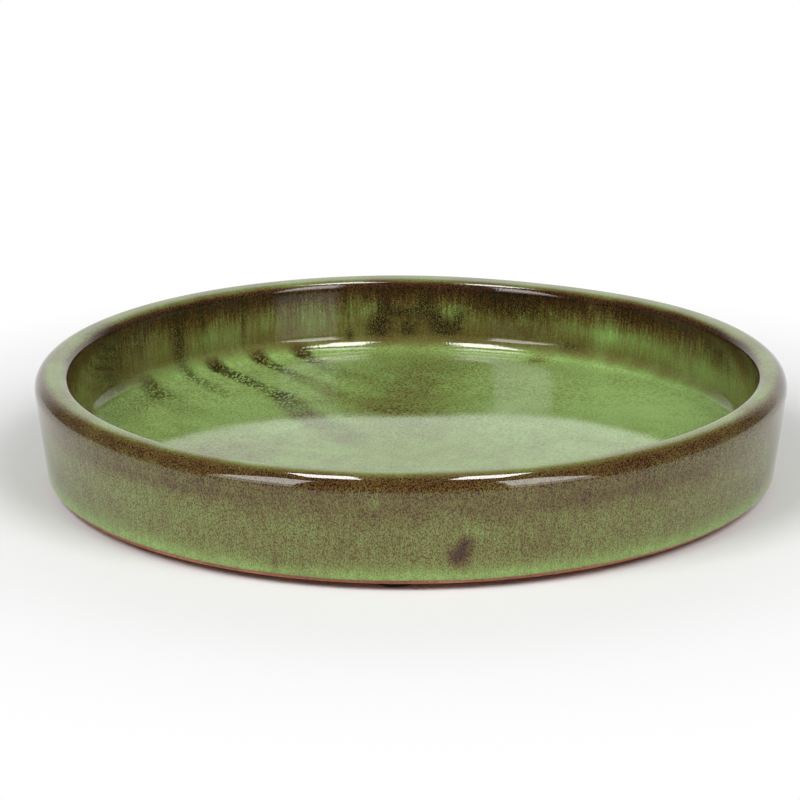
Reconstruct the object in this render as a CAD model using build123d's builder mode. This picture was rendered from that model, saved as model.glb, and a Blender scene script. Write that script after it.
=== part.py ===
"""Glazed plant saucer: a thick dished clay body, its glaze coat and four stuck-on rubber foot pads.

Millimetres, +Z up. The origin is below the centre, on the surface the saucer stands on.
"""

import os
from math import cos, radians, tan

from build123d import *

# Overall size, measured over the glaze
outer_diameter = 280.0
body_height = 40.0
wall_thickness = 11.0
floor_thickness = 12.0
outer_draft = 6.5
inner_draft = 3.5

# Roundings of the glazed surface
rim_outer_radius = 6.0
rim_inner_radius = 3.8
cove_radius = 7.0

# Glaze: thin where it breaks over the rim edges, thick where it pools in the cove
glaze_thickness = 0.6
edge_glaze_share = 0.5
cove_glaze_share = 2.4
bare_foot_height = 1.4
glaze_bead = 0.2

# Underside of the clay
foot_edge_radius = 1.0
foot_ring_width = 27.0
recess_depth = 1.5
recess_draft = 45.0
recess_edge_radius = 0.5

# Rubber pads on the foot ring
pad_diameter = 17.0
pad_thickness = 2.2
pad_edge_radius = 0.6
pad_setback = 4.3
adhesive_thickness = 0.3
adhesive_margin = 0.3
pad_angles = {"front": -90, "right": 0, "back": 90, "left": 180}

foot_z = pad_thickness + adhesive_thickness
floor_z = foot_z + floor_thickness
rim_z = foot_z + body_height
bare_top_z = foot_z + bare_foot_height


def outer_radius(depth, z):
    """Radius at height z of the leaning face that lies depth inside the glazed outer wall."""
    centre_radius = outer_diameter / 2 - rim_outer_radius
    centre_z = rim_z - rim_outer_radius
    lean = radians(outer_draft)
    return centre_radius + (rim_outer_radius - depth) / cos(lean) + (z - centre_z) * tan(lean)


def inner_radius(depth, z):
    """Radius at height z of the leaning face that lies depth behind the glazed inner wall."""
    rim_radius = outer_radius(wall_thickness, rim_z)
    lean = radians(inner_draft)
    return rim_radius + depth / cos(lean) + (z - rim_z) * tan(lean)


def clay_radius(glazed_radius, turn, share, outward):
    """Radius of a clay corner that leaves that share of the glaze at the middle of the rounding."""
    reach = 1 / cos(radians(turn) / 2)
    return glazed_radius - outward * glaze_thickness * (reach - share) / (reach - 1)


def dish_line(depth, start_z, radii):
    """Line from start_z up the outside, over the rim and along the floor to the axis, depth inside."""
    top_z = rim_z - depth
    low_z = floor_z - depth
    return FilletPolyline(
        (outer_radius(depth, start_z), start_z),
        (outer_radius(depth, top_z), top_z),
        (inner_radius(depth, top_z), top_z),
        (inner_radius(depth, low_z), low_z),
        (0, low_z),
        radius=radii,
    )


glazed_radii = [rim_outer_radius, rim_inner_radius, cove_radius]
clay_radii = [
    clay_radius(rim_outer_radius, 90 + outer_draft, edge_glaze_share, 1),
    clay_radius(rim_inner_radius, 90 - inner_draft, edge_glaze_share, 1),
    clay_radius(cove_radius, 90 - inner_draft, cove_glaze_share, -1),
]

foot_radius = outer_radius(glaze_thickness, foot_z)
recess_radius = foot_radius - foot_ring_width
pad_ring_radius = foot_radius - pad_setback - pad_diameter / 2

# Clay: the dish turned in one piece, with a shallow recess inside the foot ring
with BuildPart() as clay_body:
    with BuildSketch(Plane.XZ):
        with BuildLine():
            clay_line = dish_line(glaze_thickness, foot_z, clay_radii)
            Polyline(clay_line @ 1, (0, foot_z), clay_line @ 0)
        make_face()
    revolve(axis=Axis.Z)
    foot_edge = clay_body.edges().group_by(Axis.Z)[0]
    fillet(foot_edge, radius=foot_edge_radius)
    with BuildSketch(Plane.XY.offset(foot_z)):
        Circle(recess_radius)
    extrude(amount=recess_depth, taper=recess_draft, mode=Mode.SUBTRACT)
    recess_edge = clay_body.edges().group_by(Axis.Z)[0].sort_by(SortBy.RADIUS)[0]
    fillet(recess_edge, radius=recess_edge_radius)

# Glaze: the skin between the glazed line and the clay line, its lower end a rounded bead
with BuildPart() as glaze_coat:
    with BuildSketch(Plane.XZ):
        with BuildLine():
            glazed_line = dish_line(0, bare_top_z, glazed_radii)
            covered_line = dish_line(glaze_thickness, bare_top_z, clay_radii)
            Line(glazed_line @ 1, covered_line @ 1)
            SagittaArc(glazed_line @ 0, covered_line @ 0, glaze_bead)
        make_face()
    revolve(axis=Axis.Z)

clay_body.part.label = "clay_body"
glaze_coat.part.label = "glaze_coat"
os.makedirs("parts", exist_ok=True)
export_step(clay_body.part, "parts/clay_body.step")
export_step(glaze_coat.part, "parts/glaze_coat.step")

# Pads: a rubber disc under each quarter of the foot ring, held by its own adhesive disc
for side, angle in pad_angles.items():
    with BuildPart() as foot_pad:
        with BuildSketch():
            with PolarLocations(pad_ring_radius, 1, start_angle=angle):
                Circle(pad_diameter / 2)
        extrude(amount=pad_thickness)
        fillet(foot_pad.edges().group_by(Axis.Z)[0], radius=pad_edge_radius)

    with BuildPart() as pad_adhesive:
        with BuildSketch(Plane.XY.offset(pad_thickness)):
            with PolarLocations(pad_ring_radius, 1, start_angle=angle):
                Circle(pad_diameter / 2 - adhesive_margin)
        extrude(amount=adhesive_thickness)

    foot_pad.part.label = f"foot_pad_{side}"
    pad_adhesive.part.label = f"pad_adhesive_{side}"
    export_step(foot_pad.part, f"parts/foot_pad_{side}.step")
    export_step(pad_adhesive.part, f"parts/pad_adhesive_{side}.step")
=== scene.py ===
"""Glazed plant saucer: the looks of the turned clay, its running green glaze and its rubber pads.

Metres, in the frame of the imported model. Angles run from the front, positive towards the right.
"""

from math import cos, radians, sin, tan

import bpy
import numpy as np
from mathutils import Matrix, Vector


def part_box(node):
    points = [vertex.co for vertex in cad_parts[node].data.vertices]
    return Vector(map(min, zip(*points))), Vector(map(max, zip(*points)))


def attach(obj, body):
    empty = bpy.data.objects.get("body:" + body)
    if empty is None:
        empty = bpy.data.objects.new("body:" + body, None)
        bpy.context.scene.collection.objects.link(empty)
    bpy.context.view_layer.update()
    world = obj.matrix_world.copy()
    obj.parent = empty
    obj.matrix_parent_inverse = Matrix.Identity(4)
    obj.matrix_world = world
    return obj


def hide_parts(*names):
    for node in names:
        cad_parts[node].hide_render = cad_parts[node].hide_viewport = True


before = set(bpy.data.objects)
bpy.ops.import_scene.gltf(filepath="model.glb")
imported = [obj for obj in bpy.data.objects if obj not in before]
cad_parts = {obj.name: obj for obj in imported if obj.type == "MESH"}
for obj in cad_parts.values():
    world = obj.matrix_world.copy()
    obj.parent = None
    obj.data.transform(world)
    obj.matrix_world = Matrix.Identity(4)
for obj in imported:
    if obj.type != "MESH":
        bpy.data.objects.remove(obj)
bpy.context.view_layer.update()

MM = 0.001

# The dish, from the frame and from the sizes of its section
FOOT_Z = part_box("clay_body")[0].z
RIM_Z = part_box("glaze_coat")[1].z
RIM_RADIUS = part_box("glaze_coat")[1].x
GLAZE_END_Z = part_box("glaze_coat")[0].z
FLOOR_Z = FOOT_Z + 12 * MM
WALL = 11 * MM
OUTER_LEAN, INNER_LEAN = radians(6.5), radians(3.5)
RIM_OUTER = 6 * MM
# The rim falls off slackly from its crest and turns tightly into the inner wall; the cove does the reverse
RIM_CREST, RIM_INNER, RIM_TURN, RIM_SLOPE = 8 * MM, 3.4 * MM, radians(10), 0.2 * MM
COVE_FLOOR, COVE_WALL, COVE_TURN, COVE_SLOPE = 7 * MM, 3.4 * MM, radians(50), 0.8 * MM
GLAZE, GLAZE_BEAD = 0.6 * MM, 0.2 * MM
CLAY_RIM_OUTER, CLAY_RIM_INNER, CLAY_COVE = 4.8 * MM, 2.4 * MM, 5.35 * MM
FOOT_RING, FOOT_EDGE = 27 * MM, 1.0 * MM
RECESS, RECESS_EDGE, RECESS_CORNER = 1.5 * MM, 0.5 * MM, 0.8 * MM

# Points round the dish, and rows along each run and arc of a section, from the axis of the well outwards
AROUND = 540
FACE_RUNS, FACE_ARCS = [60, 1, 17, 1, 1, 25], [10, 7, 10, 6, 18]
BACK_RUNS, BACK_ARCS = [3, 2, 1, 3], [4, 4, 4]
CLAY_RUNS, CLAY_ARCS = [4, 3, 2, 12, 6, 1, 24], [5, 3, 5, 8, 4, 4]
BEAD_ROWS = 5


def srgb(code):
    """Linear colour, with alpha, of a six-digit sRGB hex code."""
    parts = np.array([int(code[i:i + 2], 16) for i in (0, 2, 4)]) / 255
    linear = np.where(parts <= 0.04045, parts / 12.92, ((parts + 0.055) / 1.055) ** 2.4)
    return (*linear, 1.0)


def grey(level):
    """Neutral linear colour of that level."""
    return (level, level, level, 1.0)


def add_node(tree, kind, inputs=None, stops=None, **settings):
    """A new node: settings are its own properties, inputs hold values or other nodes' outputs.

    stops are the places and colours of a ramp, which has two from the start, so the first two are moved.
    """
    made = tree.nodes.new(kind)
    for name, value in settings.items():
        setattr(made, name, value)
    for socket, value in (inputs or {}).items():
        if isinstance(value, bpy.types.NodeSocket):
            tree.links.new(value, made.inputs[socket])
        else:
            made.inputs[socket].default_value = value
    for i, (position, colour) in enumerate(stops or ()):
        elements = made.color_ramp.elements
        element = elements[i] if i < 2 else elements.new(position)
        element.position = position
        element.color = colour
    return made


def new_material(name):
    """An empty material, its tree, its surface shader and the coordinates of the piece that wears it."""
    material = bpy.data.materials.new(name)
    material.use_nodes = True
    tree = material.node_tree
    where = add_node(tree, "ShaderNodeTexCoord").outputs["Object"]
    return material, tree, tree.nodes["Principled BSDF"], where


def dress(tree, shader, colour, roughness, bump=None):
    """Give a surface shader its patterned colour, its roughness and, where there is one, its bump."""
    tree.links.new(colour, shader.inputs["Base Color"])
    shader.inputs["Roughness"].default_value = roughness
    if bump is not None:
        tree.links.new(bump, shader.inputs["Normal"])


# Shapes


def outer_radius(depth, z):
    """Radius at height z of the leaning face that lies depth inside the glazed outer wall."""
    centre_radius = RIM_RADIUS - RIM_OUTER
    centre_z = RIM_Z - RIM_OUTER
    return centre_radius + (RIM_OUTER - depth) / cos(OUTER_LEAN) + (z - centre_z) * tan(OUTER_LEAN)


def inner_radius(depth, z):
    """Radius at height z of the leaning face that lies depth behind the glazed inner wall."""
    return outer_radius(WALL, RIM_Z) + depth / cos(INNER_LEAN) + (z - RIM_Z) * tan(INNER_LEAN)


def dish_corners(depth, end_z):
    """Corners of the dish from the axis along the floor, up, over the rim and down to end_z."""
    low_z, top_z = FLOOR_Z - depth, RIM_Z - depth
    return [
        (0, low_z),
        (inner_radius(depth, low_z), low_z),
        (inner_radius(depth, top_z), top_z),
        (outer_radius(depth, top_z), top_z),
        (outer_radius(depth, end_z), end_z),
    ]


def glazed_corners(end_z):
    """Corners of the glazed face: the cove and the rim's inner edge have two each, joined by a short slope.

    A slope's length is its straight part and what the arcs at its two ends take up.
    """
    axis, _, _, *outside = dish_corners(0, end_z)
    wall_turn = np.pi / 2 - INNER_LEAN
    cove = COVE_SLOPE + COVE_FLOOR * tan(COVE_TURN / 2) + COVE_WALL * tan((wall_turn - COVE_TURN) / 2)
    wall_foot_z = FLOOR_Z + cove * sin(COVE_TURN)
    wall_foot = inner_radius(0, wall_foot_z)
    edge = RIM_SLOPE + RIM_CREST * tan(RIM_TURN / 2) + RIM_INNER * tan((wall_turn - RIM_TURN) / 2)
    wall_top_z = RIM_Z - edge * sin(RIM_TURN)
    wall_top = inner_radius(0, wall_top_z)
    return [
        axis,
        (wall_foot - cove * cos(COVE_TURN), FLOOR_Z),
        (wall_foot, wall_foot_z),
        (wall_top, wall_top_z),
        (wall_top + edge * cos(RIM_TURN), RIM_Z),
        *outside,
    ]


def rounded_line(corners, radii, run_rows, arc_rows):
    """Straight runs between the corners, each inner corner an arc tangent to both its runs."""
    corners = np.array(corners)
    steps = np.diff(corners, axis=0)
    heads = steps / np.linalg.norm(steps, axis=1)[:, None]
    line = []
    start = corners[0]
    for i, radius in enumerate(radii):
        into, out = heads[i], heads[i + 1]
        turn = np.arctan2(into[0] * out[1] - into[1] * out[0], into @ out)
        arc_start = corners[i + 1] - into * radius * tan(abs(turn) / 2)
        spoke = -np.sign(turn) * radius * np.array([-into[1], into[0]])
        swing = turn * np.linspace(0, 1, arc_rows[i] + 1)[:, None]
        across = np.array([-spoke[1], spoke[0]])
        arc = arc_start - spoke + np.cos(swing) * spoke + np.sin(swing) * across
        run = start + (arc_start - start) * np.linspace(0, 1, run_rows[i], endpoint=False)[:, None]
        line += [run, arc[:-1]]
        start = arc[-1]
    line.append(start + (corners[-1] - start) * np.linspace(0, 1, run_rows[-1] + 1)[:, None])
    return np.concatenate(line)


def turned(profile):
    """Radius, angle, height and faces of a profile turned round the axis, a single point at each pole."""
    rings = profile[1:-1]
    count = len(rings)
    radius = np.concatenate([[0], np.repeat(rings[:, 0], AROUND), [0]])
    height = np.concatenate([[profile[0, 1]], np.repeat(rings[:, 1], AROUND), [profile[-1, 1]]])
    turn = np.linspace(0, 2 * np.pi, AROUND, endpoint=False)
    angle = np.concatenate([[0], np.tile(turn, count), [0]])
    here = np.arange(AROUND)
    after = (here + 1) % AROUND
    ring = 1 + AROUND * np.arange(count - 1)[:, None]
    quads = np.stack([ring + here, ring + AROUND + here, ring + AROUND + after, ring + after], axis=-1)
    last = 1 + AROUND * (count - 1)
    top = np.stack([0 * here, 1 + here, 1 + after], axis=1)
    bottom = np.stack([last + here, 0 * here + last + AROUND, last + after], axis=1)
    return radius, angle, height, quads.reshape(-1, 4).tolist() + top.tolist() + bottom.tolist()


def hump(apart, half_width):
    """Smooth hump: 1 at its middle, falling away over its half width."""
    return np.exp(-(apart / half_width) ** 2)


def spot(along, across, length, width):
    """Soft round dab: 1 at its middle, falling away over its length and width."""
    return hump(along, length) * hump(across, width)


def turn_from(angle, middle):
    """Shortest turn to each angle from a middle, which is in degrees."""
    return np.mod(angle - radians(middle) + np.pi, 2 * np.pi) - np.pi


def bulge(angle, middle, half_width):
    """Smooth hump round the dish, its middle and half width in degrees."""
    return hump(turn_from(angle, middle), radians(half_width))


def bulges(angle, rows):
    """Sum of bulges, each row a middle and half width in degrees and a size."""
    return sum(size * bulge(angle, middle, half_width) for middle, half_width, size in rows)


PHASE_GROWTH = 2.4


def waver(angle, phase, first, last):
    """Slow uneven wave round the dish, about 1 in size: cosines of whole turns, first to last.

    Their phases grow with the square of the turns, so that the peaks don't meet.
    """
    turns = np.arange(first, last + 1)
    phases = phase + PHASE_GROWTH * turns ** 2
    return np.cos(angle[..., None] * turns + phases).sum(-1) / np.sqrt(len(turns))


# Hand turning: middle and half width in degrees from the front, then the rim's rise or the extra thickness
# of wall or cove in millimetres, or the inner wall's turn towards the upright in degrees
BACK, BACK_WIDTH = 180, 75
RIM_LEVELS = [(0, 55, -0.5), (-23, 30, -1.4), (23, 30, -1.4), (155, 25, -1.2), (-130, 40, 0.65)]
WALL_EXTRAS = [(-83, 21, 2.1), (BACK, BACK_WIDTH, 3.6)]
COVE_EXTRAS = [(-120, 45, 2.6), (180, 55, 0.8)]
STEEPER = [(-157, 25, 2.6), (160, 25, -1.2)]
# The floor's and cove's drifts fade up the wall as this power of the drop from the rim
COVE_POWER = 16
RIM_WANDER = 0.2 * MM
CREST_FALL = radians(3)
FLOOR_RISE, FLOOR_RISE_WIDTH, FLOOR_TILT = 1.0 * MM, 36 * MM, radians(0.5)
# The worn foot: middle and half width in degrees, rise of the edge, and how far in and up it fades
WORN_MIDDLE, WORN_WIDTH, WORN_RISE, WORN_IN, WORN_UP = 62, 38, 0.6 * MM, 4 * MM, 10 * MM


def hand_turned(radius, angle, height, inside):
    """Drifts of a dish turned and dried by hand.

    The rim's round and level wander, growing with height and fading to the axis. The wall is thicker
    inwards at the left and back, the cove still more so, and its inner face is steeper at the back left
    and slacker at the back right, all of which carries the floor's edge along. The crest at the back
    falls a little inwards, the floor rises a little in its middle and sinks to the back, and the foot's
    outer edge is worn away at the right.
    """
    lift = np.clip((height - FOOT_Z) / (RIM_Z - FOOT_Z), 0, 1)
    out = np.clip(radius / RIM_RADIUS, 0, 1)
    drop = np.clip(RIM_Z - height, 0, RIM_Z - FLOOR_Z)
    on_floor = inside * (drop / (RIM_Z - FLOOR_Z)) ** COVE_POWER
    steeper = drop * np.tan(np.radians(bulges(angle, STEEPER)))
    thicker = MM * (bulges(angle, WALL_EXTRAS) + on_floor * bulges(angle, COVE_EXTRAS))
    risen = inside * FLOOR_RISE * hump(radius, FLOOR_RISE_WIDTH)
    tilted = on_floor * tan(FLOOR_TILT) * radius * np.cos(angle)
    foot_edge = np.clip((radius - outer_radius(GLAZE, FOOT_Z)) / WORN_IN + 1, 0, 1)
    low = np.clip(1 - (height - FOOT_Z) / WORN_UP, 0, 1)
    worn = WORN_RISE * foot_edge * low * bulge(angle, WORN_MIDDLE, WORN_WIDTH)
    radius = radius + RIM_WANDER * lift * out * waver(angle, phase=1.0, first=2, last=4)
    radius = radius + inside * out ** 2 * (steeper - thicker)
    from_edge = np.clip(RIM_RADIUS - RIM_OUTER - radius, 0, WALL)
    fallen = inside * tan(CREST_FALL) * from_edge * bulge(angle, BACK, BACK_WIDTH)
    level = lift * out ** 4 * (MM * bulges(angle, RIM_LEVELS) - fallen)
    return radius, height + level + worn + risen + tilted


def place(radius, angle, height):
    """Points at those radii, angles from the front and heights."""
    return np.stack([radius * np.sin(angle), -radius * np.cos(angle), height], axis=-1)


def add_piece(name, points, faces, material, attributes=None):
    """A smooth mesh piece from its points and faces, with named values on its points."""
    mesh = bpy.data.meshes.new(name)
    mesh.from_pydata(points.tolist(), [], faces)
    mesh.polygons.foreach_set("use_smooth", np.ones(len(mesh.polygons), bool))
    for label, values in (attributes or {}).items():
        layer = mesh.attributes.new(label, "FLOAT", "POINT")
        layer.data.foreach_set("value", values.astype(np.float32))
    mesh.materials.append(material)
    piece = bpy.data.objects.new(name, mesh)
    bpy.context.scene.collection.objects.link(piece)
    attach(piece, "root")
    return piece


# Glaze: where it lies thick and thin

# Wall marks: angle from the front in degrees, height above the table, half width and half height in
# millimetres, and how much thicker the glaze lies there. Thin marks inside show as dark grains, and as plain
# brown in the list of browns; outside they show as both
INNER_WALL_MARKS = [
    (-169.2, 31.0, 4.0, 3.2, 0.16),
    (-172.3, 30.0, 2.4, 4.6, -0.55),
    (-171.2, 23.0, 4.6, 4.2, -0.70),
    (-176.0, 28.5, 4.5, 2.0, -0.45),
    (-176.9, 21.8, 2.6, 2.6, -0.65),
    (-179.9, 31.5, 3.4, 5.0, -0.42),
    (180.0, 24.0, 17.0, 9.0, -0.10),
    (174.8, 29.8, 6.5, 4.0, 0.26),
    (177.6, 25.4, 2.6, 4.2, -0.50),
    (175.1, 22.2, 4.4, 2.9, -0.62),
    (173.2, 26.6, 2.2, 2.6, -0.45),
    (-165.0, 27.0, 1.6, 9.0, -0.12),
    (-165.7, 19.2, 1.8, 2.4, -0.40),
    (-144.0, 30.0, 1.1, 14.0, -0.22),
    (-142.1, 36.0, 4.0, 4.0, -0.10),
    (-139.5, 31.0, 5.0, 5.0, 0.12),
    (-150.0, 30.0, 7.0, 6.0, 0.16),
    (-158.0, 27.0, 9.0, 9.0, 0.12),
    (-135.0, 33.0, 2.5, 12.0, -0.16),
    (-129.3, 28.0, 3.4, 12.0, -0.44),
    (-124.0, 28.0, 5.0, 8.0, 0.08),
    (-118.5, 31.0, 4.0, 10.0, -0.12),
    (-108.0, 28.0, 14.0, 14.0, -0.30),
    (-125.0, 16.2, 40.0, 2.2, 0.20),
    (163.0, 33.5, 20.0, 5.0, -0.32),
    (160.0, 23.0, 22.0, 6.0, -0.13),
    (150.5, 18.5, 6.0, 2.4, -0.20),
    (146.3, 37.2, 2.0, 2.6, 0.26),
    (140.0, 27.0, 30.0, 5.0, 0.18),
    (144.0, 25.0, 5.0, 8.0, 0.10),
    (116.0, 22.5, 24.0, 5.0, 0.20),
    (111.6, 31.5, 9.0, 5.0, -0.14),
    (107.0, 29.0, 3.0, 6.0, -0.14),
]
INNER_WALL_BROWNS = [
    (165.0, 34.0, 24.0, 5.5, -0.20),
    (180.0, 18.0, 95.0, 7.0, -0.10),
    (112.0, 33.0, 14.0, 6.0, -0.14),
    (-112.0, 31.0, 24.0, 9.0, -0.12),
    (-130.0, 32.0, 8.0, 8.0, -0.12),
]
OUTER_WALL_MARKS = [
    (9.2, 13.3, 3.2, 3.6, -0.50),
    (10.1, 18.0, 2.2, 2.6, -0.42),
    (11.5, 22.0, 3.0, 2.4, 0.10),
    (-2.2, 34.0, 1.8, 2.2, 0.22),
    (-3.0, 28.5, 5.0, 2.0, -0.08),
    (34.0, 30.5, 40.0, 3.0, -0.09),
    (-40.0, 26.5, 44.0, 5.0, 0.06),
    (-35.0, 31.5, 34.0, 1.8, -0.07),
    (-50.0, 14.0, 60.0, 12.0, 0.04),
    (-14.0, 8.0, 12.0, 4.0, -0.08),
    (-16.5, 8.5, 0.9, 4.0, -0.20),
]
# How many grains the thin marks have, and the share of their thinning that is given back inside
INNER_GRAINS, OUTER_GRAINS, GIVEN_BACK = 2.8, 0.8, 0.8

# Floor runs: start and end in millimetres from the centre, half width at both, then how much thinner the
# glaze is at the start and along the run, and the strength of its dashes
FLOOR_RUNS = [
    (-87, 91, -56, 50, 4.2, 4.4, 0.40, 0.05, 1.3),
    (-54, 47, -42, 18, 5.5, 7, 0.0, 0.10, 0.9),
    (-42, 18, -22, -14, 6.5, 8, 0.0, 0.12, 0.25),
    (-71, 106, -50, 77, 4.0, 3.4, 0.40, 0.05, 1.2),
    (-48, 74, -32, 50, 4.5, 6, 0.0, 0.16, 0.25),
    (-53, 115, -46, 103, 4.2, 3.6, 0.40, 0.05, 1.2),
    (-45, 101, -24, 72, 5, 8, 0.0, 0.06, 0.5),
    (-113, 65, -104, 46, 3.8, 5.5, 0.35, 0.06, 1.0),
    (-104, 46, -86, 18, 7, 8, 0.0, 0.04, 0.35),
    (-97, 79, -76, 46, 3.2, 4.0, 0.1, 0.04, 0.7),
]
# Length of a run's dark start in millimetres, and the share of its dashes that is lost by its end
DARK_START, DASHES_LOST = 9, 0.6
# Floor pools: middle in millimetres, half width across and along, change of thickness and speckle
FLOOR_POOLS = [
    (-2, 62, 19, 66, -0.26, 0.12),
    (-26, 40, 18, 9, -0.14, 0.10),
    (-8, 26, 16, 8, -0.12, 0.10),
    (0, -45, 130, 48, -0.14, -0.15),
    (-70, -30, 24, 20, -0.18, 0.05),
    (-112, 30, 11, 18, -0.08, 0.20),
    (92, 32, 24, 26, 0.10, -0.15),
    (49, 108, 4, 4, -0.40, 0.40),
    (20, 96, 16, 12, -0.06, 0.15),
]

# Where the green crest gives way to brown inside: middle and half width in degrees, shift in millimetres,
# then the size of its flutter, and the middle and half length along the section of the edge that shifts
EDGE_SHIFTS = [(-132, 30, 0.7), (138, 25, 0.3)]
EDGE_FLUTTER, EDGE_AT, EDGE_LENGTH = 0.25, -3, 3
# Along the section, in millimetres from the crest of the rim, negative inside: where the floor takes over
# from the wall and over what length, then thickness of the glaze, and strength of its specks, mottling,
# dashes, streaks and orange peel
FLOOR_FROM, FLOOR_BLEND = -27, 6
THICKNESS_ALONG = [
    (-46, 0.95), (-35, 0.97), (-32, 0.90), (-30.2, 0.74), (-28.5, 0.62), (-23, 0.57), (-19, 0.56),
    (-16, 0.52), (-13.5, 0.48), (-11.5, 0.38), (-9, 0.22), (-7, 0.13), (-5, 0.14), (-4, 0.20), (-3.2, 0.40),
    (-2.4, 0.62), (-1, 0.70), (1, 0.70), (2.2, 0.56), (3.4, 0.36), (4.8, 0.27), (6.8, 0.29), (8.3, 0.38),
    (9.8, 0.43), (12.8, 0.465), (15.8, 0.47), (18.4, 0.52), (24.4, 0.585), (30.4, 0.57), (34, 0.59),
    (36.5, 0.64), (38.5, 0.72), (40, 0.80), (44, 0.88),
]
SPECKS_ALONG = [
    (-60, 0.30), (-36, 0.30), (-30, 0.15), (-18, 0.14), (-13, 0.30), (-8, 0.35), (-4, 0.40), (-1, 0.20),
    (1, 0.25), (4, 0.5), (9, 0.5), (14, 0.45), (34, 0.42), (38, 0.28), (44, 0.2),
]
MOST_SPECKS = 1.2
MOTTLE_ALONG = [(-36, 0.06), (-28, 0.05), (-4, 0.05), (0, 0.04), (8, 0.035)]
DASHES_ALONG = [(-19, 0.0), (-14, 0.20), (-11, 0.32), (-7, 0.30), (-4.5, 0.10), (-3.5, 0.0)]
STREAKS_ALONG = [
    (-31, 0.0), (-26, 0.05), (-18, 0.10), (-14, 0.18), (-9, 0.14), (-5, 0.05), (8, 0.04), (14, 0.07),
    (40, 0.05),
]
PEEL_ALONG = [
    (-46, 0.20), (-36, 0.20), (-32, 0.20), (-28, 0.35), (-8, 0.35), (-4.6, 0.4), (-3.6, 0.8), (-2.6, 0.5),
    (-1.5, 0.12), (8, 0.08),
]
# The floor's back has more orange peel: how much, from what y and over what length in millimetres
BACK_PEEL, BACK_PEEL_FROM, BACK_PEEL_BLEND = 0.4, 30, 30
# Bands where the thickness wanders round the dish: middle and half length in millimetres along the section,
# how far it wanders, then the wave's phase and its fewest and most turns
WANDERS = [
    (-12, 6, 0.07, 0.5, 2, 9),
    (-12, 6, 0.05, 2.0, 10, 40),
    (-20, 6, 0.05, 3.3, 3, 14),
    (0, 3, 0.06, 1.3, 8, 30),
    (7, 5, 0.03, 0.5, 2, 9),
    (7, 5, 0.03, 2.0, 10, 40),
    (26, 12, 0.02, 5.1, 3, 18),
]


def along_section(run, rows):
    """Value at each place along the section, straight between the rows' places and values."""
    places, values = zip(*rows)
    return np.interp(run, places, values)


def wall_marks(marks, radius, angle, height):
    """Sums over a wall's marks: change of thickness, and thinning by the thin marks alone."""
    change, thinning = 0 * angle, 0 * angle
    for middle, level, half_width, half_height, amount in marks:
        around = turn_from(angle, middle) * radius / MM
        mark = spot(around, height / MM - level, half_width, half_height)
        change = change + amount * mark
        thinning = thinning + max(-amount, 0) * mark
    return change, thinning


def floor_marks(x, y):
    """Sums over the floor's runs and pools: change of thickness, change of speckle, and dashes.

    A run is a flat-topped hump of the distance from its middle line, as wide as the line has become there.
    """
    change, speckle, dashes = 0 * x, 0 * x, 0 * x
    for x0, y0, x1, y1, start_width, end_width, dark_start, dark_run, strength in FLOOR_RUNS:
        length = np.hypot(x1 - x0, y1 - y0)
        ahead = ((x - x0) * (x1 - x0) + (y - y0) * (y1 - y0)) / length
        aside = ((x - x0) * (y1 - y0) - (y - y0) * (x1 - x0)) / length
        within = np.clip(ahead, 0, length)
        width = start_width + (end_width - start_width) * within / length
        run = hump(aside ** 2 + (ahead - within) ** 2, width ** 2)
        change = change - run * (dark_start * hump(within, DARK_START) + dark_run)
        dashes = dashes + run * strength * (1 - DASHES_LOST * within / length)
    for x0, y0, across, along, amount, extra_specks in FLOOR_POOLS:
        pool = spot(x - x0, y - y0, across, along)
        change = change + amount * pool
        speckle = speckle + extra_specks * pool
    return change, speckle, dashes


def glaze_values(run, radius, angle, height):
    """Values of the glaze at each place on the dish, by the names that its material reads.

    run is the length along the section in millimetres from the crest of the rim, positive outside.
    The glaze is thin over both edges of the rim, runs down the walls and pools in the cove and at the foot.
    glaze_depth is its thickness, from 0 to 1. grain, dashes, mottle, streaks and peel are the strengths of
    its specks, dark dashes, mottling, streaks and orange peel. wall is 1 on the walls and 0 on the floor.
    """
    x, y = radius * np.sin(angle) / MM, -radius * np.cos(angle) / MM
    inside = run < 0
    floor = np.clip((FLOOR_FROM - run) / FLOOR_BLEND, 0, 1)
    inner_wall = inside * (1 - floor)

    shift = bulges(angle, EDGE_SHIFTS) + EDGE_FLUTTER * waver(angle, phase=1.3, first=12, last=40)
    depth = along_section(run + shift * hump(run - EDGE_AT, EDGE_LENGTH), THICKNESS_ALONG)
    for middle, half_length, amount, phase, first, last in WANDERS:
        own_side = (inside == (middle < 0)) | (middle == 0)
        band = own_side * hump(run - middle, half_length)
        depth = depth + amount * band * waver(angle, phase, first, last)

    inner_change, inner_thinning = wall_marks(INNER_WALL_MARKS, radius, angle, height)
    brown_change, _ = wall_marks(INNER_WALL_BROWNS, radius, angle, height)
    outer_change, outer_thinning = wall_marks(OUTER_WALL_MARKS, radius, angle, height)
    floor_change, floor_speckle, floor_dashes = floor_marks(x, y)
    depth = depth + (inner_change + GIVEN_BACK * inner_thinning + brown_change) * inner_wall
    depth = depth + outer_change * ~inside + floor_change * floor
    dashes = (along_section(run, DASHES_ALONG) + INNER_GRAINS * inner_thinning) * inner_wall
    dashes = dashes + OUTER_GRAINS * outer_thinning * ~inside + floor_dashes * floor
    grain = along_section(run, SPECKS_ALONG) + floor_speckle * floor
    floor_back = floor * np.clip((y - BACK_PEEL_FROM) / BACK_PEEL_BLEND, 0, 1)
    return {
        "glaze_depth": np.clip(depth, 0, 1),
        "grain": np.clip(grain, 0, MOST_SPECKS),
        "dashes": np.clip(dashes, 0, 1),
        "mottle": along_section(run, MOTTLE_ALONG),
        "streaks": along_section(run, STREAKS_ALONG),
        "peel": along_section(run, PEEL_ALONG) + BACK_PEEL * floor_back,
        "wall": 1 - floor,
    }


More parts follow.
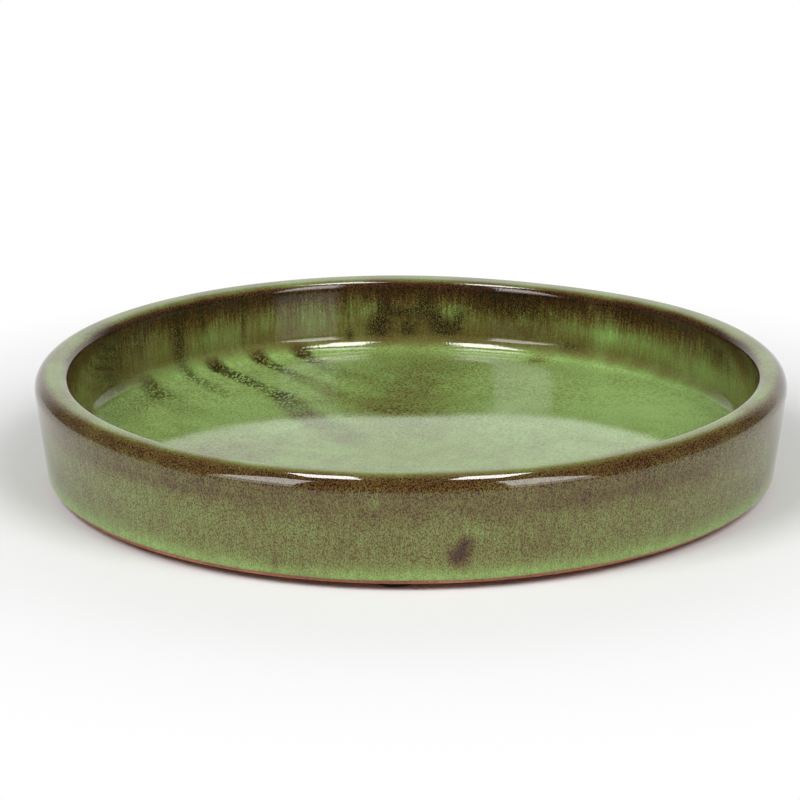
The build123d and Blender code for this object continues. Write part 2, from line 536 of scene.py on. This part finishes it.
# The crest is what lies this close to the rim's height, and the inside begins this far within its outer edge
CREST_LEVEL, CREST_MARGIN = 0.01 * MM, 0.1 * MM
# The glaze's lower end: height of the band that shifts with it, its mean rise, its tilt, the angle where it
# is highest, and its wander
END_BAND, END_RISE, END_TILT = 8 * MM, 0.15 * MM, 0.3 * MM
END_HIGHEST, END_WANDER = radians(-50), 0.1 * MM


def glaze_skin(material):
    """The glaze as a closed skin: its glazed face, a bead at its lower end and the side that meets the clay.

    The profile is carried round the axis, and its lower end rises and dips round the foot.
    """
    end_z = GLAZE_END_Z + GLAZE_BEAD
    face_radii = [COVE_FLOOR, COVE_WALL, RIM_INNER, RIM_CREST, RIM_OUTER]
    face = rounded_line(glazed_corners(end_z), face_radii, FACE_RUNS, FACE_ARCS)
    back_radii = [CLAY_COVE, CLAY_RIM_INNER, CLAY_RIM_OUTER]
    back = rounded_line(dish_corners(GLAZE, end_z), back_radii, BACK_RUNS, BACK_ARCS)[::-1]
    across = np.linspace(0, 1, BEAD_ROWS)[1:-1, None]
    bead = face[-1] + (back[0] - face[-1]) * across + np.sin(np.pi * across) * np.array([0, -GLAZE_BEAD])
    profile = np.concatenate([face, bead, back])
    radius, angle, height, faces = turned(profile)

    lengths = np.concatenate([[0], np.cumsum(np.linalg.norm(np.diff(face, axis=0), axis=1))])
    crest = lengths[face[:, 1] > RIM_Z - CREST_LEVEL].mean()
    run_rows = np.concatenate([lengths, np.full(len(profile) - len(face), lengths[-1])]) - crest
    run = np.concatenate([run_rows[:1], np.repeat(run_rows[1:-1], AROUND), run_rows[-1:]]) / MM

    low = np.clip((end_z + END_BAND - height) / END_BAND, 0, 1) * (run > 0)
    ragged = END_RISE + END_TILT * np.cos(angle - END_HIGHEST)
    ragged = ragged + END_WANDER * waver(angle, phase=0.0, first=4, last=20)
    height = height + low * ragged
    radius = radius + low * ragged * tan(OUTER_LEAN)
    values = glaze_values(run, radius, angle, height)
    inside = radius < RIM_RADIUS - RIM_OUTER - CREST_MARGIN
    radius, height = hand_turned(radius, angle, height, inside)
    skin = add_piece("glaze_skin", place(radius, angle, height), faces, material, values)
    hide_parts("glaze_coat")


def bare_clay(material):
    """The clay as a closed turned body: the dish under the glaze, the foot ring and the recess inside it."""
    dish = dish_corners(GLAZE, FOOT_Z)
    foot_radius = dish[-1][0]
    corners = dish + [
        (foot_radius - FOOT_RING, FOOT_Z),
        (foot_radius - FOOT_RING - RECESS, FOOT_Z + RECESS),
        (0, FOOT_Z + RECESS),
    ]
    radii = [CLAY_COVE, CLAY_RIM_INNER, CLAY_RIM_OUTER, FOOT_EDGE, RECESS_EDGE, RECESS_CORNER]
    radius, angle, height, faces = turned(rounded_line(corners, radii, CLAY_RUNS, CLAY_ARCS))
    reach = 2 * GLAZE
    inside = (height > FLOOR_Z - reach) & (radius < inner_radius(reach, RIM_Z))
    radius, height = hand_turned(radius, angle, height, inside)
    clay = add_piece("bare_clay", place(radius, angle, height), faces, material)
    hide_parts("clay_body")


# Materials


def reactive_glaze():
    """Glossy reactive stoneware glaze: green where thick, breaking through olive to iron brown where thin.

    It gives the eye a wet gloss over fine dark speckle, with faint runs down the walls.
    """
    material, tree, shader, where = new_material("reactive_green_glaze")
    value = {
        label: add_node(tree, "ShaderNodeAttribute", attribute_name=label).outputs["Fac"]
        for label in ("glaze_depth", "grain", "dashes", "mottle", "streaks", "peel", "wall")
    }

    # Iron specks: about 0.4 mm across and drawn out downwards on the walls, about 1 mm on the floor
    drawn = add_node(tree, "ShaderNodeMapping", {"Vector": where, "Scale": (1, 1, 0.6)}).outputs["Vector"]
    fine = add_node(
        tree,
        "ShaderNodeTexNoise",
        {"Vector": drawn, "Scale": 1 / (0.38 * MM), "Detail": 2.0, "Roughness": 0.6},
    ).outputs["Fac"]
    coarse = add_node(
        tree,
        "ShaderNodeTexNoise",
        {"Vector": where, "Scale": 1 / (0.9 * MM), "Detail": 2.0, "Roughness": 0.6},
    ).outputs["Fac"]
    speck = add_node(
        tree, "ShaderNodeMix", {"Factor": value["wall"], "A": coarse, "B": fine}
    ).outputs["Result"]
    speck = add_node(
        tree,
        "ShaderNodeMapRange",
        {"Value": speck, "From Min": 0.42, "From Max": 0.64, "To Min": 0.25, "To Max": -0.75},
        interpolation_type="SMOOTHSTEP",
    ).outputs["Result"]

    # Dashes of iron: 1.1 mm wide and drawn out along the floor's runs, as fine as the specks on the walls
    along_runs = add_node(
        tree,
        "ShaderNodeMapping",
        {"Vector": where, "Rotation": (0, 0, radians(-33)), "Scale": (1, 0.4, 1)},
    ).outputs["Vector"]
    dash = add_node(
        tree, "ShaderNodeTexNoise", {"Vector": along_runs, "Scale": 1 / (1.1 * MM), "Detail": 1.0}
    ).outputs["Fac"]
    dash = add_node(
        tree, "ShaderNodeMix", {"Factor": value["wall"], "A": dash, "B": fine}
    ).outputs["Result"]
    dash = add_node(
        tree,
        "ShaderNodeMapRange",
        {"Value": dash, "From Min": 0.43, "From Max": 0.49, "To Min": 0.0, "To Max": 0.95},
        interpolation_type="SMOOTHSTEP",
    ).outputs["Result"]
    dashed = add_node(tree, "ShaderNodeMath", {0: dash, 1: value["dashes"]}, operation="MULTIPLY").outputs[0]

    # Streaks 1 mm wide and ten times as long, and mottling 9 mm across
    runny = add_node(tree, "ShaderNodeMapping", {"Vector": where, "Scale": (1, 1, 0.1)}).outputs["Vector"]
    streaks = add_node(
        tree, "ShaderNodeTexNoise", {"Vector": runny, "Scale": 1 / (1.0 * MM), "Detail": 2.0}
    ).outputs["Fac"]
    streaks = add_node(
        tree,
        "ShaderNodeMapRange",
        {"Value": streaks, "From Min": 0.3, "From Max": 0.7, "To Min": -1.0, "To Max": 1.0},
    ).outputs["Result"]
    clouds = add_node(
        tree, "ShaderNodeTexNoise", {"Vector": where, "Scale": 1 / (9 * MM), "Detail": 3.0}
    ).outputs["Fac"]
    clouds = add_node(
        tree,
        "ShaderNodeMapRange",
        {"Value": clouds, "From Min": 0.3, "From Max": 0.7, "To Min": -1.0, "To Max": 1.0},
    ).outputs["Result"]

    # The patterns change the thickness, and the thickness gives the colour
    total = value["glaze_depth"]
    for pattern, label in ((clouds, "mottle"), (streaks, "streaks"), (speck, "grain")):
        total = add_node(
            tree, "ShaderNodeMath", {0: pattern, 1: value[label], 2: total}, operation="MULTIPLY_ADD"
        ).outputs[0]
    colour = add_node(
        tree,
        "ShaderNodeValToRGB",
        {"Fac": total},
        stops=[
            (0.0, srgb("180E08")),
            (1.0, srgb("9FC076")),
            (0.15, srgb("4B2814")),
            (0.30, srgb("5B4120")),
            (0.45, srgb("665B2D")),
            (0.60, srgb("73763E")),
            (0.75, srgb("809350")),
            (0.90, srgb("8EAE5E")),
        ],
    ).outputs["Color"]
    colour = add_node(
        tree, "ShaderNodeMix", {0: dashed, 6: colour, 7: srgb("211C0D")}, data_type="RGBA"
    ).outputs[2]

    # Orange peel 0.8 mm across
    peel = add_node(
        tree, "ShaderNodeTexNoise", {"Vector": where, "Scale": 1 / (0.8 * MM), "Detail": 1.0}
    ).outputs["Fac"]
    bump = add_node(
        tree, "ShaderNodeBump", {"Height": peel, "Strength": value["peel"], "Distance": 0.05 * MM}
    ).outputs["Normal"]
    dress(tree, shader, colour, roughness=0.05, bump=bump)
    shader.inputs["IOR"].default_value = 1.5
    return material


def terracotta():
    """Unglazed red earthenware: matte, dusty orange-brown with grog and pores that show as fine grit."""
    material, tree, shader, where = new_material("terracotta")
    grit = add_node(
        tree,
        "ShaderNodeTexNoise",
        {"Vector": where, "Scale": 1 / (1.2 * MM), "Detail": 4.0, "Roughness": 0.65},
    ).outputs["Fac"]
    bloom = add_node(
        tree, "ShaderNodeTexNoise", {"Vector": where, "Scale": 1 / (18 * MM), "Detail": 3.0}
    ).outputs["Fac"]
    mixed = add_node(tree, "ShaderNodeMix", {"Factor": 0.4, "A": grit, "B": bloom}).outputs["Result"]
    colour = add_node(
        tree,
        "ShaderNodeValToRGB",
        {"Fac": mixed},
        stops=[(0.3, srgb("7E4A36")), (0.7, srgb("C08A6C")), (0.5, srgb("A3654B"))],
    ).outputs["Color"]
    bump = add_node(
        tree, "ShaderNodeBump", {"Height": grit, "Strength": 1.0, "Distance": 0.12 * MM}
    ).outputs["Normal"]
    dress(tree, shader, colour, roughness=0.85, bump=bump)
    return material


def pad_rubber():
    """Moulded black rubber: nearly black and matte, with a fine dusty texture."""
    material, tree, shader, where = new_material("moulded_rubber")
    dust = add_node(
        tree, "ShaderNodeTexNoise", {"Vector": where, "Scale": 1 / (0.5 * MM), "Detail": 3.0}
    ).outputs["Fac"]
    colour = add_node(
        tree, "ShaderNodeValToRGB", {"Fac": dust}, stops=[(0.35, srgb("0F0E0E")), (0.75, srgb("2A2827"))]
    ).outputs["Color"]
    bump = add_node(
        tree, "ShaderNodeBump", {"Height": dust, "Strength": 1.0, "Distance": 0.04 * MM}
    ).outputs["Normal"]
    dress(tree, shader, colour, roughness=0.75, bump=bump)
    return material


def adhesive_film():
    """Acrylic adhesive film: a thin greyish layer, slightly shiny, mottled where it has taken up dust."""
    material, tree, shader, where = new_material("acrylic_adhesive")
    dust = add_node(
        tree, "ShaderNodeTexNoise", {"Vector": where, "Scale": 1 / (1.5 * MM), "Detail": 3.0}
    ).outputs["Fac"]
    colour = add_node(
        tree, "ShaderNodeValToRGB", {"Fac": dust}, stops=[(0.35, srgb("8F8A7E")), (0.7, srgb("CBC6B8"))]
    ).outputs["Color"]
    dress(tree, shader, colour, roughness=0.4)
    return material


glaze_skin(reactive_glaze())
bare_clay(terracotta())
rubber, film = pad_rubber(), adhesive_film()
for side in ("front", "right", "back", "left"):
    for node_name, material in ((f"foot_pad_{side}", rubber), (f"pad_adhesive_{side}", film)):
        node_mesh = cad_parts[node_name].data
        node_mesh.materials.clear()
        node_mesh.materials.append(material)

# Camera: fitted to the outline of the saucer in the photograph
IMAGE_SIZE = 800
FOCAL_PIXELS = 2598.5
TARGET_PIXEL = (410.9, 410.0)
VIEW_AZIMUTH, VIEW_ELEVATION, VIEW_ROLL = radians(2.6), radians(16.45), radians(-0.15)
VIEW_DISTANCE = 7 * RIM_RADIUS
SENSOR = 36.0

target = Vector((0, 0, (FOOT_Z + RIM_Z) / 2))
view_back = Vector((
    sin(VIEW_AZIMUTH) * cos(VIEW_ELEVATION),
    -cos(VIEW_AZIMUTH) * cos(VIEW_ELEVATION),
    sin(VIEW_ELEVATION),
))
camera_data = bpy.data.cameras.new("camera")
camera_data.sensor_width = SENSOR
camera_data.lens = SENSOR * FOCAL_PIXELS / IMAGE_SIZE
camera_data.shift_x = (IMAGE_SIZE / 2 - TARGET_PIXEL[0]) / IMAGE_SIZE
camera_data.shift_y = (TARGET_PIXEL[1] - IMAGE_SIZE / 2) / IMAGE_SIZE
camera = bpy.data.objects.new("camera", camera_data)
bpy.context.scene.collection.objects.link(camera)
camera.location = target + view_back * VIEW_DISTANCE
aim = view_back.to_track_quat("Z", "Y").to_matrix().to_4x4()
camera.rotation_euler = (aim @ Matrix.Rotation(VIEW_ROLL, 4, "Z")).to_euler()
bpy.context.scene.camera = camera


def softbox(name, location, width, height, radiance, facing, lights=True, shows=True):
    """A lamp turned to a point, its power worked out from the brightness of its face.

    lights says whether it lights the dish, shows whether the glaze mirrors it.
    """
    lamp = bpy.data.lights.new(name, "AREA")
    lamp.shape = "RECTANGLE"
    lamp.size, lamp.size_y = width, height
    lamp.energy = radiance * np.pi * width * height
    holder = bpy.data.objects.new(name, lamp)
    bpy.context.scene.collection.objects.link(holder)
    holder.location = location
    holder.rotation_euler = (Vector(location) - facing).to_track_quat("Z", "Y").to_euler()
    holder.visible_diffuse = lights
    holder.visible_glossy = shows


# Soft key lamps light the dish at a plain level; the panels show only as highlights in the glaze
KEY_ACROSS, KEY_Y, KEY_Z, KEY_SIZE, KEY_RADIANCE = 1.0, -1.0, 1.4, 1.0, 7.4
# The front panels stand at either side of the camera and lean back; each is a low part, which is dimmer,
# and a high part: distance from the axis, height of the middle, length and brightness
PANEL_AZIMUTH, PANEL_WIDTH, PANEL_SLOPE = radians(41.5), 0.45, 0.31
PANEL_PARTS = [(1.045, 0.308, 0.292, 2.6), (1.333, 1.25, 1.678, 7.0)]
# The overhead panels hang nearly level over the dish
OVERHEAD_ACROSS, OVERHEAD_Y, OVERHEAD_Z = (-0.29, 0.27), -0.06, 1.25
OVERHEAD_WIDTH, OVERHEAD_LENGTH, OVERHEAD_RADIANCE = 0.22, 0.44, 20.0

for side in (-1, 1):
    stand = (side * KEY_ACROSS, KEY_Y, KEY_Z)
    softbox("key_lamp", stand, KEY_SIZE, KEY_SIZE, KEY_RADIANCE, target, shows=False)
    for away, middle_z, length, radiance in PANEL_PARTS:
        stand = (side * away * sin(PANEL_AZIMUTH), -away * cos(PANEL_AZIMUTH), middle_z)
        ahead = Vector((0, 0, middle_z + away * PANEL_SLOPE))
        softbox("front_panel", stand, PANEL_WIDTH, length, radiance, ahead, lights=False)
for across in OVERHEAD_ACROSS:
    hung = (across, OVERHEAD_Y, OVERHEAD_Z)
    below = Vector((across, 0, 0))
    softbox("overhead_panel", hung, OVERHEAD_WIDTH, OVERHEAD_LENGTH, OVERHEAD_RADIANCE, below, lights=False)

# Floor: matte white paper that keeps the saucer's shadow near it and shows plain white farther off
FLOOR_HALF = 8
SHADOW_FROM, SHADOW_TO = 0.14, 0.30

floor_corners = [(x * FLOOR_HALF, y * FLOOR_HALF, 0) for x, y in ((-1, -1), (1, -1), (1, 1), (-1, 1))]
floor_mesh = bpy.data.meshes.new("studio_floor")
floor_mesh.from_pydata(floor_corners, [], [(0, 1, 2, 3)])
paper, paper_tree, paper_shader, paper_where = new_material("white_paper")
paper_shader.inputs["Base Color"].default_value = srgb("F2F2F2")
paper_shader.inputs["Roughness"].default_value = 0.9
from_axis = add_node(
    paper_tree, "ShaderNodeVectorMath", {0: paper_where}, operation="LENGTH"
).outputs["Value"]
farther_off = add_node(
    paper_tree,
    "ShaderNodeMapRange",
    {"Value": from_axis, "From Min": SHADOW_FROM, "From Max": SHADOW_TO},
    interpolation_type="SMOOTHSTEP",
).outputs["Result"]
ray = add_node(paper_tree, "ShaderNodeLightPath").outputs
shown = ray["Is Camera Ray"]
for kind in ("Is Glossy Ray", "Is Transmission Ray"):
    shown = add_node(paper_tree, "ShaderNodeMath", {0: shown, 1: ray[kind]}, operation="MAXIMUM").outputs[0]
shown = add_node(paper_tree, "ShaderNodeMath", {0: shown, 1: farther_off}, operation="MULTIPLY").outputs[0]
white = add_node(paper_tree, "ShaderNodeEmission", {"Strength": 1.0}).outputs[0]
paper_mix = add_node(
    paper_tree, "ShaderNodeMixShader", {0: shown, 1: paper_shader.outputs[0], 2: white}
).outputs[0]
paper_tree.links.new(paper_mix, paper_tree.nodes["Material Output"].inputs["Surface"])
floor_mesh.materials.append(paper)
studio_floor = bpy.data.objects.new("studio_floor", floor_mesh)
bpy.context.scene.collection.objects.link(studio_floor)

# World: white where the camera looks, a white backdrop behind the dish and a dim room elsewhere
ROOM_LOW, ROOM_HIGH, ROOM_TOP = grey(0.2), grey(0.1), sin(radians(35))
BACKDROP_WHITE, BACKDROP_TOP, BACKDROP_END = grey(1.0), sin(radians(42)), sin(radians(55))
# The backdrop fades out sideways between these shares of straight back
BACKDROP_EDGE, BACKDROP_FULL = 0.62, 0.85

world = bpy.data.worlds.new("studio")
bpy.context.scene.world = world
world.use_nodes = True
sky = world.node_tree
direction = add_node(sky, "ShaderNodeTexCoord").outputs["Generated"]
along = add_node(sky, "ShaderNodeSeparateXYZ", {"Vector": direction}).outputs
room = add_node(
    sky, "ShaderNodeValToRGB", {"Fac": along["Z"]}, stops=[(0.0, ROOM_LOW), (ROOM_TOP, ROOM_HIGH)]
).outputs["Color"]
backdrop = add_node(
    sky,
    "ShaderNodeValToRGB",
    {"Fac": along["Z"]},
    stops=[(BACKDROP_TOP, BACKDROP_WHITE), (BACKDROP_END, ROOM_HIGH)],
).outputs["Color"]
behind = add_node(
    sky, "ShaderNodeMapRange", {"Value": along["Y"], "From Min": BACKDROP_EDGE, "From Max": BACKDROP_FULL}
).outputs["Result"]
studio = add_node(sky, "ShaderNodeMix", {"Factor": behind, "A": room, "B": backdrop}).outputs["Result"]
sky_ray = add_node(sky, "ShaderNodeLightPath").outputs
seen = add_node(
    sky,
    "ShaderNodeMath",
    {0: sky_ray["Is Camera Ray"], 1: sky_ray["Is Transmission Ray"]},
    operation="MAXIMUM",
).outputs[0]
strength = add_node(sky, "ShaderNodeMix", {"Factor": seen, "A": studio, "B": 1.0}).outputs["Result"]
sky.links.new(strength, sky.nodes["Background"].inputs["Strength"])
sky.nodes["Background"].inputs["Color"].default_value = srgb("FFFFFF")

bpy.context.scene.view_settings.view_transform = "Standard"
